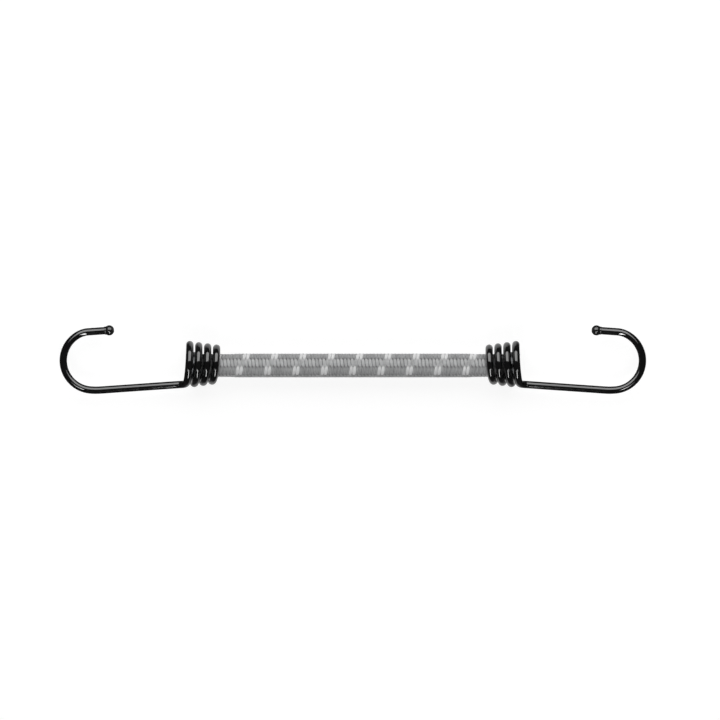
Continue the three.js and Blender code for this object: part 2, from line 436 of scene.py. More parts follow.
@dataclass(frozen=True)
class ZincStrip:
    """The zinc-coated steel strip of the cord clips, with tarnished streaks; its tones are kept dark as
    painted shade for the inside of the coils.
    """

    name: str = "zinc_strip"  # The material's name.
    slot: str = "clip_steel"  # The record's material slot.
    bright: Colour = (0.20, 0.204, 0.21)  # The zinc where it is cleanest, darkened as painted shade.
    dull: Colour = (0.09, 0.092, 0.095)  # The zinc where it is tarnished, darkened as painted shade too.
    # Rolling streaks for each metre, along the cord, across it and up.
    streaks: tuple[float, float, float] = (5200.0, 260.0, 260.0)
    clouds: Grain = (700.0, 4.0)  # The grain of the cloudy spots.
    # Where the product of both turns from dull to bright.
    tarnish_range: tuple[float, float] = (0.12, 0.42)
    roughness: tuple[float, float] = (0.24, 0.42)  # The least and the greatest roughness.
    streak_detail: float = 3.0  # How many finer layers the streaks have.
    streak_depth: float = 0.008 * MM  # The height of the streaks, in metres.

    def build(self) -> Material:
        """Makes zinc with rolling streaks round the strip and cloudy dull spots.

        Returns:
            The new material.
        """
        shader = Shader(self.name, Metallic=1.0)
        place = shader.node("TexCoord").outputs["Object"]
        stretched = shader.node("Mapping", {"Vector": place, "Scale": self.streaks}).outputs["Vector"]
        streaks = shader.noise(1.0, self.streak_detail, stretched)
        clouds = shader.noise(*self.clouds)
        tone = shader.spread(shader.maths("MULTIPLY", streaks, clouds), 0.0, 1.0, *self.tarnish_range)
        shader.feed("Base Color", shader.blend(tone, self.dull, self.bright))
        shader.feed("Roughness", shader.spread(clouds, *self.roughness))
        shader.bump(streaks, self.streak_depth)
        return shader.material


@dataclass(frozen=True)
class BraidYarn:
    """A bulked polyester yarn: fine filaments laid side by side with a little twist."""

    name: str  # The material's name.
    shade: Colour  # The colour between filaments.
    light: Colour  # The colour on top of a filament.
    slot: str = "braid"  # The record's material slot.
    filaments_across: float = 5.0  # Filaments in half of the yarn's width.
    twist_per_mm: float = 0.55  # Filaments that each millimetre of yarn winds past.
    drift: Grain = (1900.0, 2.0)  # The grain by which filaments stray.
    drift_share: float = 0.5  # How far they stray, in filaments.
    filament_depth: float = 0.035 * MM  # The height of a filament, in metres.
    filament_strength: float = 0.8  # How much of that height shades the yarn.
    filament_light: float = 0.55  # How much lighter a filament is on top.
    yarn_light: float = 0.2  # How much one yarn may differ from the next.
    clumps: Grain = (620.0, 5.0)  # The grain of lighter and darker clumps.
    clump_light: float = 0.12  # How much they differ.
    least_light: float = 0.08  # The lightness that is always there.
    edge_light: float = 0.0  # How much lighter a yarn is at its edges.
    painted_shade: float = 0.55  # How much painted shade darkens it where it is tucked under.
    painted_shade_from: float = 0.04  # How far down that painted shade starts.
    painted_shade_blend: float = 0.5  # The depth over which it comes in.
    deep_light: float = 0.20  # How much of that painted shade is given back at the very bottom.
    deep_from: float = 0.65  # How far down that starts.
    coil_shade_share: float = 0.3  # The share of its colour that is left under the painted shade inside the coils.
    roughness: tuple[float, float] = (0.72, 0.5)  # The roughness between filaments and on top of one.

    def build(self) -> Material:
        """Makes the yarn; its filaments follow the values painted along each yarn.

        Returns:
            The new material.
        """
        shader = Shader(self.name, Sheen_Weight=0.35, Sheen_Roughness=0.45, Specular_IOR_Level=0.35)
        across, along, tone, depth, held = [shader.painted(name) for name in BraidedSheath.PAINTED]
        lines = shader.maths("ADD", shader.maths("MULTIPLY", across, self.filaments_across),
                             shader.maths("MULTIPLY", along, self.twist_per_mm),
                             shader.maths("MULTIPLY", shader.noise(*self.drift), self.drift_share), tone)
        ridges = shader.maths("ABSOLUTE", shader.maths("SINE", shader.maths("MULTIPLY", lines, math.pi)))
        level = shader.maths("ADD", shader.maths("MULTIPLY", ridges, self.filament_light),
                             shader.maths("MULTIPLY", tone, self.yarn_light),
                             shader.spread(shader.noise(*self.clumps), -self.clump_light, self.clump_light),
                             shader.maths("MULTIPLY", across, across, self.edge_light), self.least_light)
        clean = shader.blend(level, self.shade, self.light)
        # Painted shade: the colour darkens where the yarn dips under its neighbours, and lightens a little
        # again at the very bottom.
        painted_shade_end = self.painted_shade_from + self.painted_shade_blend
        kept = shader.spread(depth, 1.0, 1.0 - self.painted_shade, self.painted_shade_from, painted_shade_end)
        kept = shader.maths("ADD", kept, shader.spread(depth, 0.0, self.deep_light, self.deep_from, 1.0))
        # Painted shade inside the coils, where the cord lies in their shadow.
        coil_shaded = shader.spread(held, 1.0, self.coil_shade_share, 0.0, 1.0)
        share = shader.maths("MULTIPLY", kept, coil_shaded)
        dimmed = shader.node("VectorMath", {0: clean, "Scale": share}, operation="SCALE")
        shader.feed("Base Color", dimmed.outputs["Vector"])
        shader.feed("Roughness", shader.spread(ridges, *self.roughness, 0.0, 1.0))
        shader.bump(ridges, self.filament_depth, self.filament_strength)
        return shader.material


@dataclass(frozen=True)
class CordLine:
    """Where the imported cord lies."""

    axis_y: float  # The cord axis's place across, in metres.
    axis_z: float  # Its height above the table.
    half_length: float  # Half of the cord's whole length, ends included.

    @classmethod
    def from_frame(cls) -> "CordLine":
        """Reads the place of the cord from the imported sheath.

        Returns:
            The cord's line.
        """
        low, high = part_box("braided_sheath")
        middle = (low + high) / 2
        return cls(middle.y, middle.z, high.x)

    def on_surface(self, x: np.ndarray, radius: np.ndarray, angle: np.ndarray) -> np.ndarray:
        """Gives points round the cord.

        Args:
            x: Places along the cord.
            radius: Distances from its axis.
            angle: Angles round it, from straight up towards +Y.

        Returns:
            Rows of three.
        """
        across = self.axis_y + radius * np.sin(angle)
        height = self.axis_z + radius * np.cos(angle)
        return np.stack(np.broadcast_arrays(x, across, height), axis=-1)


@dataclass
class CordPlan:
    """How the cord is parted, shared by the sheath and the core.

    The middle part runs between the two seams, and each end part runs from its seam to the cord's end,
    beside its coil.
    """

    line: CordLine  # Where the cord lies.
    bend_half: float = 7.5 * MM  # Half of the length over which an end bends.
    seam_margin: float = 1.0 * MM  # How far the motion of each part stays clear of the seam.

    def __post_init__(self) -> None:
        """Reads the bends' place and works out where the parts meet."""
        self.bend_x = next(j["pos_m"][0] for j in frame["joints"] if j["name"] == "right_bend")
        self.seam_x = self.bend_x - self.bend_half

    def at(self, x: float) -> tuple[float, float, float]:
        """A point on the cord's axis."""
        return (x, self.line.axis_y, self.line.axis_z)

    def parts(self, end: float) -> list[tuple[str, float, float, Side | None]]:
        """Lists the three parts, the middle one first.

        Args:
            end: How far from the middle of the cord the end parts reach.

        Returns:
            For each its name, its lower and higher X, and which end it is, if any.
        """
        return [("middle", -self.seam_x, self.seam_x, None),
                ("left_end", -end, -self.seam_x, Side.LEFT),
                ("right_end", self.seam_x, end, Side.RIGHT)]

    def move(self, piece: Piece, side: Side | None) -> None:
        """Bakes the part's place into its mesh, the same for the middle and for an end.

        Args:
            piece: The mesh of the part.
            side: Which end it is, if any.
        """
        if side is None:
            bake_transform(piece)
            return
        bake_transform(piece)


@dataclass
class BraidedSheath:
    """The braid over the whole cord: yarns laid both ways, two over and two under."""

    # Values painted on each yarn's points. The depth drives painted shade where a yarn is tucked under, and
    # the last one drives painted shade inside the coils.
    PAINTED = ("yarn_across", "yarn_along", "yarn_tone", "yarn_depth", "yarn_held")
    GREY, TRACER, RIM, PALE = range(4)

    plan: CordPlan  # How the cord is parted.
    lay: float = 11.9 * MM  # The length in which a yarn goes once round the cord.
    yarns_each_way: int = 8  # How many yarns turn each way.
    free_radius: float = 5.14 * MM  # From the axis to the top of the upper yarns on the free cord.
    held_radius: float = 4.97 * MM  # The same where a coil and its clip hold the cord.
    held_from: float = 50.0 * MM  # How far from the middle of the cord the coils hold it.
    held_blend: float = 4.0 * MM  # The length over which the braid narrows there.
    top_width: float = 1.20 * MM  # A yarn's width where it lies on top.
    tracer_width: float = 1.40 * MM  # The same of the bulkier white yarns.
    pale_width: float = 1.38 * MM  # The same of the pale yarns, which lean backward.
    top_thickness: float = 0.62 * MM  # Its thickness there.
    tucked_width: float = 1.44 * MM  # Its width where it is pressed flat under two others.
    tucked_thickness: float = 0.40 * MM  # Its thickness there.
    pinch: float = 0.30 * MM  # How much narrower it is where it dips between the two.
    coil_shade_from: float = 57.0 * MM  # How far from the middle of the cord the painted shade inside the coils starts.
    coil_shade_blend: float = 1.5 * MM  # The length over which that comes in.
    steepness: float = 0.80  # How much less a yarn leans on top than it does on average.
    evening: float = 15.0  # The smaller, the more evenly it leans while it lies on top.
    float_middle_degrees: float = -30.0  # Where round the cord a forward yarn lies on top.
    floats_per_turn: int = 4  # How often a yarn comes to the top in one turn.
    longer_floats: float = 0.20  # How much longer the forward yarns' floats are than the others'.
    flat_top: float = 1.3  # How flat a yarn runs on top and below, and how steeply between.
    tracer_x: float = -47.7 * MM  # Where a pair of white yarns lies on top, on that line.
    tracer_yarns: int = 2  # How many white yarns lie side by side.
    rings_per_turn: int = 78  # Rings of points in one turn of a yarn.
    sides: int = 12  # Points round a yarn.
    search_steps: int = 40001  # Places tried along a yarn to find where it starts and ends.
    wander: float = 0.03 * MM  # How far a yarn strays along the cord.
    wander_waves: float = 1.7  # How many times it strays in one radian of its turn.
    tone_seed: int = 100  # Picks each yarn's own tone.
    rim_length: float = 1.0 * MM  # The melted rim's length along the cord.
    rim_thickness: float = 0.75 * MM  # Its thickness.
    rim_segments: int = 120  # Sections round the rim.
    rim_corners: int = 12  # Points round a section.
    rim_squareness: float = 0.6  # The power that rounds its section: 1 is round, 0 is square.
    rim_lumps: float = 0.10 * MM  # The height of its lumps.
    rim_lumps_round: int = 5  # How many times they come in one radian.
    rim_ragged: float = 0.14 * MM  # How uneven its edges are.
    rim_ragged_round: int = 7  # How many times they sway in one radian.
    rim_waves: int = 6  # The waves in each.
    rim_seeds: tuple[int, int] = (31, 47)  # Pick the lumps and the edges.

    @property
    def float_middle(self) -> float:
        """Where round the cord a forward yarn lies on top, in radians."""
        return math.radians(self.float_middle_degrees)

    def outer_radius(self, x: np.ndarray) -> np.ndarray:
        """How far the braid reaches out from the axis at a place along the cord."""
        held = smoothstep((np.abs(x) - self.held_from) / self.held_blend + 0.5)
        return self.free_radius + (self.held_radius - self.free_radius) * held

    def lift(self, angle: np.ndarray, lean: Lean) -> np.ndarray:
        """How far up a yarn lies, from -1 below to 1 on top, at an angle round the cord."""
        wave = np.cos(self.floats_per_turn * (angle - self.float_middle)) + self.longer_floats
        return lean.value * np.tanh(self.flat_top * wave) / math.tanh(self.flat_top)

    def first_angle(self, lean: Lean) -> float:
        """The angle of a lean's yarn number zero where X is zero.

        The forward yarns are placed by the white pair. The backward ones cross them
        halfway between the middle and the end of each float.

        Args:
            lean: Which way the yarn turns.

        Returns:
            The angle in radians.
        """
        step = FULL_TURN / self.yarns_each_way
        pair_half = (self.tracer_yarns - 1) * step / 2
        forward = self.float_middle - FULL_TURN * self.tracer_x / self.lay - pair_half
        if lean is Lean.FORWARD:
            return forward
        return 2 * (self.float_middle + step / 4) - forward

    def place_along(self, turned: np.ndarray, angle: np.ndarray) -> np.ndarray:
        """The place along the cord that a yarn has reached.

        It moves on slowly where the yarn lies on top and fast where it is tucked under,
        so that the part that shows stands almost straight across the cord.

        Args:
            turned: How far the yarn has turned round the cord, in radians.
            angle: The angle round the cord at which it lies.

        Returns:
            Places along the cord, in metres.
        """
        wave = self.floats_per_turn * (angle - self.float_middle)
        held_back = (np.sin(wave) - np.sin(3 * wave) / self.evening) * self.steepness / self.floats_per_turn
        return self.lay / FULL_TURN * (turned - held_back)

    def centre(self, turned: np.ndarray, number: int, lean: Lean) -> tuple[np.ndarray, np.ndarray]:
        """The middle line of a yarn and how high it lies at each point.

        Args:
            turned: How far the yarn has turned since the middle of the cord, in radians.
            number: The yarn's number among those of its lean.
            lean: Which way it turns.

        Returns:
            The points, and the share from 0, tucked under, to 1, on top.
        """
        start = self.first_angle(lean) + FULL_TURN * number / self.yarns_each_way
        seed = number + self.yarns_each_way * (1 + lean.value)
        angle = start + lean.value * turned
        strayed = self.wander * smooth_noise(turned * self.wander_waves, seed)
        x = self.place_along(turned, angle) + strayed
        on_top = (1 + self.lift(angle, lean)) / 2
        upper = self.outer_radius(x) - self.top_thickness / 2
        lower = self.outer_radius(x) - self.top_thickness - self.tucked_thickness / 2
        return self.plan.line.on_surface(x, lower + (upper - lower) * on_top, angle), on_top

    def turns_between(self, low: float, high: float, number: int, lean: Lean) -> np.ndarray:
        """How far a yarn has turned at each ring that it needs between two places.

        Args:
            low: The lower place along the cord.
            high: The higher place.
            number: The yarn's number among those of its lean.
            lean: Which way it turns.

        Returns:
            The turns in radians, from the lower place to the higher one.
        """
        reach = FULL_TURN * (max(abs(low), abs(high)) / self.lay + 1)
        turned = np.linspace(-reach, reach, self.search_steps)
        reached = self.centre(turned, number, lean)[0][:, 0]
        first, last = np.interp([low, high], reached, turned)
        steps = max(2, math.ceil((last - first) / FULL_TURN * self.rings_per_turn))
        return np.linspace(first, last, steps + 1)

    def kind(self, number: int, lean: Lean) -> tuple[int, float]:
        """Says what a yarn is made of and how wide it is.

        Args:
            number: The yarn's number among those of its lean.
            lean: Which way it turns.

        Returns:
            Its material slot, and its width where it lies on top.
        """
        if lean is Lean.BACKWARD:
            return self.PALE, self.pale_width
        if number < self.tracer_yarns:
            return self.TRACER, self.tracer_width
        return self.GREY, self.top_width

    def add_yarn(self, draft: MeshDraft, low: float, high: float, number: int, lean: Lean) -> None:
        """Adds one yarn over a stretch of the cord.

        Args:
            draft: The mesh that takes it.
            low: The lower end of the stretch.
            high: The higher end.
            number: The yarn's number among those of its lean.
            lean: Which way it turns.
        """
        turned = self.turns_between(low, high, number, lean)
        nudge = FULL_TURN / self.rings_per_turn / 4
        points, on_top = self.centre(turned, number, lean)
        ahead, _ = self.centre(turned + nudge, number, lean)
        behind, _ = self.centre(turned - nudge, number, lean)
        forward = unit(ahead - behind)
        outward = points - np.array(self.plan.at(0.0))
        outward[:, 0] = 0.0
        outward = unit(outward - forward * (outward * forward).sum(axis=1)[:, None])
        aside = np.cross(forward, outward)

        slot, widest = self.kind(number, lean)
        width = self.tucked_width + (widest - self.tucked_width) * on_top
        width = width - 4 * self.pinch * on_top * (1 - on_top)
        thickness = self.tucked_thickness + (self.top_thickness - self.tucked_thickness) * on_top
        turn = angles_round(self.sides)
        across = np.cos(turn)[None, :, None] * (width / 2)[:, None, None] * aside[:, None, :]
        up = np.sin(turn)[None, :, None] * (thickness / 2)[:, None, None] * outward[:, None, :]
        rings = points[:, None, :] + across + up

        along = turned / FULL_TURN * math.hypot(self.lay, FULL_TURN * self.free_radius) / MM
        seed = self.tone_seed + number * 2 + (lean is Lean.FORWARD)
        tone = np.random.default_rng(seed).uniform(0, 1)
        # Painted shade inside the coils: 0 on the open cord, rising to 1 where the coils cover it.
        coil_shade = smoothstep((np.abs(points[:, 0]) - self.coil_shade_from) / self.coil_shade_blend)
        values = (np.cos(turn), along[:, None], tone, (1.0 - on_top)[:, None], coil_shade[:, None])
        draft.add_tube(rings, slot, (slot, slot), **{
            name: np.broadcast_to(value, rings.shape[:2]) for name, value in zip(self.PAINTED, values)})

    def add_rim(self, draft: MeshDraft, side: Side) -> None:
        """Adds the melted rim at one end, an uneven ring that holds the yarns' ends.

        Args:
            draft: The mesh that takes it.
            side: Which end of the cord it closes.
        """
        turn = angles_round(self.rim_segments)
        corner = angles_round(self.rim_corners)
        squared_along, squared_up = [np.sign(wave) * np.abs(wave) ** self.rim_squareness
                                     for wave in (np.cos(corner), np.sin(corner))]
        lumps_seed, ragged_seed = [seed + side.value for seed in self.rim_seeds]
        lumps = smooth_noise(turn * self.rim_lumps_round, lumps_seed, self.rim_waves)
        ragged = smooth_noise(turn * self.rim_ragged_round, ragged_seed, self.rim_waves)
        lumps, ragged = self.rim_lumps * lumps[:, None], self.rim_ragged * ragged[:, None]
        middle_x = side.value * (self.plan.line.half_length - self.rim_length / 2)
        along = middle_x + side.value * (squared_along[None, :] * self.rim_length / 2 + ragged)
        half = self.rim_thickness / 2
        radius = self.held_radius - half + squared_up * half + lumps
        around = np.broadcast_to(turn[:, None], radius.shape)
        sections = self.plan.line.on_surface(along, radius, around)
        if side is Side.LEFT:
            sections = sections[::-1]
        blank = np.zeros(sections.shape[:2])
        draft.add_tube(sections, self.RIM, (), closed=True, **{name: blank for name in self.PAINTED})

    def build(self) -> list[Piece]:
        """Builds the three parts.

        Returns:
            The middle part first, then the two ends.
        """
        # Each yarn sets how much painted shade darkens it where it is tucked under.
        grey = BraidYarn("grey_yarn", shade=(0.14, 0.142, 0.145), light=(0.54, 0.544, 0.55),
                         painted_shade=0.65, edge_light=0.55)
        pale = BraidYarn("pale_grey_yarn", shade=(0.24, 0.242, 0.246), light=(0.74, 0.744, 0.75),
                         painted_shade=0.40, painted_shade_from=0.25)
        white = BraidYarn("tracer_yarn", shade=(0.68, 0.685, 0.69), light=(0.95, 0.95, 0.95),
                          painted_shade=0.35, painted_shade_from=0.15)
        materials = [grey.build(), white.build(), FUSED_YARN.build(), pale.build()]
        pieces = []
        for word, low, high, side in self.plan.parts(self.plan.line.half_length - self.rim_length):
            draft = MeshDraft()
            for lean in Lean:
                for number in range(self.yarns_each_way):
                    self.add_yarn(draft, low, high, number, lean)
            if side is not None:
                self.add_rim(draft, side)
            piece = draft.to_object(f"sheath_{word}", materials)
            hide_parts("braided_sheath")
            self.plan.move(piece, side)
            pieces.append(piece)
        return pieces


@dataclass
class RubberCore:
    """The elastic core: round rubber strands packed in rings round a middle one."""

    plan: CordPlan  # How the cord is parted.
    rings: int = 3  # How many rings of strands lie round the middle strand.
    first_ring: int = 6  # How many strands the first ring holds.
    pitch: float = 1.152 * MM  # The distance from one ring to the next.
    strand_radius: float = 0.501 * MM  # The radius of a strand.
    strand_sides: int = 14  # Points round a strand.
    cut_depth: float = 0.5 * MM  # How far the strands' ends may lie inside the cord's end.
    least_cut: float = 0.1  # The least of that depth, as a share.
    bend_step: float = 1.2 * MM  # The length of a strand's pieces where it bends.
    middle_seed: int = 11  # Picks the depths of the middle part.
    end_seed: int = 20  # Picks the depths of the ends.

    def places(self) -> list[tuple[float, float]]:
        """Places the strands across the cord.

        Returns:
            The distance of each strand from the cord's axis, and its angle round it.
        """
        found = [(0.0, 0.0)]
        for ring in range(1, self.rings + 1):
            count = self.first_ring * ring
            for number in range(count):
                angle = FULL_TURN * (number + 0.5) / count
                found.append((self.pitch * ring, math.pi / 2 - angle))
        return found

    def draft(self, low: float, high: float, cut: Side | None) -> MeshDraft:
        """Lays all the strands over one part of the cord.

        Args:
            low: The part's lower X.
            high: Its higher X.
            cut: The side whose cut ends belong to it, if any.

        Returns:
            A draft of the strands.
        """
        seed = self.middle_seed if cut is None else self.end_seed + cut.value
        chance = np.random.default_rng(seed)
        step = high - low if cut is None else self.bend_step
        made = MeshDraft()
        turn = angles_round(self.strand_sides)
        round_it = np.stack([np.zeros_like(turn), np.cos(turn), np.sin(turn)], axis=-1)
        for distance, angle in self.places():
            depth = self.cut_depth * chance.uniform(self.least_cut, 1.0)
            start = low + depth if cut is Side.LEFT else low
            end = high - depth if cut is Side.RIGHT else high
            x = np.linspace(start, end, max(2, round((end - start) / step) + 1))
            middle = self.plan.line.on_surface(x, np.full(len(x), distance), np.full(len(x), angle))
            made.add_tube(middle[:, None, :] + self.strand_radius * round_it[None, :, :])
        return made

    def build(self) -> list[Piece]:
        """Builds the core's three parts.

        Returns:
            The middle part first, then the two ends.
        """
        rubber = LATEX_RUBBER.build()
        pieces = []
        for word, low, high, side in self.plan.parts(self.plan.line.half_length):
            piece = self.draft(low, high, side).to_object(f"core_{word}", [rubber])
            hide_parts(*[node for node in frame["nodes"] if node.startswith("rubber_strand")])
            self.plan.move(piece, side)
            pieces.append(piece)
        return pieces


@dataclass
class WireShape:
    """The middle line of the left hook's wire, from its tip to the last turn of the coil.

    It stands in the coil's own place: the coil's axis is the X axis, and the first turn
    starts below the origin. Lengths are in metres.
    """

    diameter: float = 3.0 * MM  # The coated wire's diameter.
    coil_turns: float = 3.75  # Turns in the coil.
    turn_gap: float = 0.74 * MM  # The gap between turns.
    turn_taper: float = 0.5 * MM  # How much the coil's radius shrinks with each turn.
    turn_lean: float = 0.7 * MM  # How far each turn leans along the cord, to either side.
    coil_start_radius: float = 8.55 * MM  # The radius at which the coil starts.
    steps_per_turn: int = 96  # Points in a turn.
    elbow_reach: float = 3.2 * MM  # How far out from the coil's start the shank ends.
    elbow_pull: float = 2.2 * MM  # How strongly the elbow's two ends keep their directions.
    elbow_end_turn: float = 0.08  # The turn at which the elbow has run into the coil.
    elbow_steps: int = 24  # Points in the elbow.
    hook_tilt: float = 4.0  # How far the shank leans off the cord's direction, in degrees.
    shank_length: float = 32.5 * MM  # The straight shank's length.
    shank_steps: int = 30  # Points in it.
    # The radius and the degrees of each arc of the hook, from the shank on.
    arcs: tuple[tuple[float, float], ...] = ((27.0 * MM, 9.5), (12.4 * MM, 145.2), (10.0 * MM, 25.3))
    arc_step_degrees: float = 2.0  # The turn between points on an arc.
    tip_length: float = 9.28 * MM  # The straight tip's length.
    tip_steps: int = 10  # Points in it.

    @property
    def pitch(self) -> float:
        """The distance from one turn to the next."""
        return self.diameter + self.turn_gap

    @property
    def coil_length(self) -> float:
        """From the coil's start to the far side of its last turn."""
        return float(self.coil_point(np.array(self.coil_turns))[0]) + self.diameter / 2

    def coil_point(self, turn: np.ndarray) -> np.ndarray:
        """Places points on the coil.

        Args:
            turn: Turns after the coil's start, one number or several.

        Returns:
            A point for each.
        """
        angle = FULL_TURN * turn
        radius = self.coil_start_radius - self.turn_taper * turn
        along = self.pitch * turn + self.turn_lean * np.sin(angle)
        return np.stack([along, -radius * np.cos(angle), radius * np.sin(angle)], axis=-1)

    def hook_points(self) -> tuple[np.ndarray, np.ndarray]:
        """Walks the flat hook from the elbow to the tip.

        Returns:
            The points on the way, and the direction in which the tip points.
        """
        place = np.array([-self.elbow_reach, -self.coil_start_radius, 0.0])
        heading = math.radians(180.0 + self.hook_tilt)
        points = [place]

        def go(length: float, steps: int) -> None:
            """Walks straight ahead.

            Args:
                length: How far.
                steps: In how many equal steps.
            """
            nonlocal place
            for _ in range(steps):
                place = place + length / steps * np.array([math.cos(heading), math.sin(heading), 0.0])
                points.append(place)

        go(self.shank_length, self.shank_steps)
        for radius, degrees in self.arcs:
            steps = round(degrees / self.arc_step_degrees)
            step = math.radians(degrees / steps)
            for _ in range(steps):
                heading -= step / 2
                go(2 * radius * math.sin(step / 2), 1)
                heading -= step / 2
        go(self.tip_length, self.tip_steps)
        return np.array(points), np.array([math.cos(heading), math.sin(heading), 0.0])

    def elbow_points(self) -> np.ndarray:
        """Bends the wire from the flat hook into the coil.

        Returns:
            The curve's points, from the shank on.
        """
        tilt = math.radians(self.hook_tilt)
        start = np.array([-self.elbow_reach, -self.coil_start_radius, 0.0])
        end = self.coil_point(np.array(self.elbow_end_turn))
        ahead = self.coil_point(np.array(self.elbow_end_turn + 0.5 / self.steps_per_turn))
        behind = self.coil_point(np.array(self.elbow_end_turn - 0.5 / self.steps_per_turn))
        into_coil = unit(ahead - behind)
        from_shank = np.array([math.cos(tilt), math.sin(tilt), 0.0])
        pulls = [start, start + self.elbow_pull * from_shank, end - self.elbow_pull * into_coil, end]
        share = np.linspace(0.0, 1.0, self.elbow_steps + 1)[:, None]
        rest = 1.0 - share
        return (rest**3 * pulls[0] + 3 * rest**2 * share * pulls[1]
                + 3 * rest * share**2 * pulls[2] + share**3 * pulls[3])

    def line(self) -> np.ndarray:
        """Joins the hook, the elbow and the coil.

        Returns:
            The points of the whole middle line, from the tip on.
        """
        hook, _ = self.hook_points()
        turns = self.coil_turns - self.elbow_end_turn
        steps = round(turns * self.steps_per_turn)
        coil = self.coil_point(self.elbow_end_turn + turns * np.arange(1, steps + 1) / steps)
        return np.concatenate([hook[::-1], self.elbow_points()[1:], coil])


@dataclass
class Hook:
    """One end hook: its coated wire and the cap on its tip."""

    side: Side  # Which end of the cord it holds.
    cord: CordLine  # Where the cord lies.
    shape: WireShape = field(default_factory=WireShape)  # The wire's middle line.
    cord_drop: float = 0.5 * MM  # How far the cord's axis lies below the coil's.
    mouth_x: float = 55.5 * MM  # Where the coil ends, as a distance from the middle of the cord.
    coat_build: float = 0.05 * MM  # How far the dipped coat stands proud of the wire's nominal radius.
    wire_sides: int = 32  # Points round the wire.
    waviness: float = 0.012 * MM  # How much the coat's thickness wanders.
    wave_length: float = 14 * MM  # Over what length it does.
    wave_seed: int = 5  # Picks how.
    flat_softness: float = 0.12 * MM  # How softly the wire's underside meets its flat.
    end_chamfer: float = 0.18 * MM  # The chamfer at the wire's cut end.
    coat_thickness: float = 0.3 * MM  # The coat's thickness, which shows at that end.
    cap_bore_gap: float = 0.1 * MM  # The gap between the wire's tip and the floor of the cap's bore.

    @property
    def origin(self) -> np.ndarray:
        """Where the left coil starts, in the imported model's frame."""
        start = -self.mouth_x - self.shape.coil_length
        return np.array([start, self.cord.axis_y + self.cord_drop, self.cord.axis_z])

    def settle(self, points: np.ndarray) -> np.ndarray:
        """Presses whatever reaches below the table softly flat onto it.

        Args:
            points: Rows of three.

        Returns:
            The same points, none of them below the table.
        """
        soft = self.flat_softness
        height = points[..., 2]
        pressed = soft * np.exp(np.minimum(height, soft) / soft - 1.0)
        settled = points.copy()
        settled[..., 2] = np.where(height < soft, pressed, height)
        return settled

    def wire_rings(self) -> np.ndarray:
        """Rounds the wire out to its skin, with a small chamfer at its cut end.

        Returns:
            The skin's rings, from the tip to the edge of the bare steel.
        """
        line = self.shape.line() + self.origin
        sides, across = carried_frames(line, UP)
        turn = angles_round(self.wire_sides)
        direction = (np.cos(turn)[None, :, None] * sides[:, None, :]
                     + np.sin(turn)[None, :, None] * across[:, None, :])
        along = np.concatenate([[0.0], np.cumsum(np.linalg.norm(np.diff(line, axis=0), axis=1))])
        nominal = self.shape.diameter / 2 + self.coat_build
        radius = nominal + self.waviness * smooth_noise(along / self.wave_length, self.wave_seed)
        rings = line[:, None, :] + radius[:, None, None] * direction
        cut = line[-1] + unit(line[-1] - line[-2]) * self.end_chamfer
        rim = cut + (radius[-1] - self.end_chamfer) * direction[-1]
        steel = cut + (radius[-1] - self.coat_thickness) * direction[-1]
        return self.settle(np.concatenate([rings, rim[None], steel[None]]))

    def finish(self, draft: MeshDraft, word: str, node: str, *finishes: Finish) -> Piece:
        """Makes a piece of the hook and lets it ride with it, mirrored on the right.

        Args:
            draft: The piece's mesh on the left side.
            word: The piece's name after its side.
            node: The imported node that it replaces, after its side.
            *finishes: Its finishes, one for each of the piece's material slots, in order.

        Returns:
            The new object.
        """
        if self.side is Side.RIGHT:
            draft.mirror()
        piece = draft.to_object(f"{self.side.word}_{word}", [finish.build() for finish in finishes])
        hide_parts(f"{self.side.word}_{node}")
        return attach(piece, f"{self.side.word}_hook")

    def build(self) -> list[Piece]:
        """Builds the coated wire and the cap on its tip.

        Returns:
            The wire and the cap.
        """
        wire = MeshDraft()
        wire.add_tube(self.wire_rings(), 0, (0, 1))
        hook, direction = self.shape.hook_points()
        seat = hook[-1] + self.origin + direction * self.cap_bore_gap
        cap = TipCap().draft(seat, direction)
        return [self.finish(wire, "wire", "hook_wire", VINYL_COAT, CUT_STEEL),
                self.finish(cap, "cap", "tip_cap", CAP_PLASTIC)]


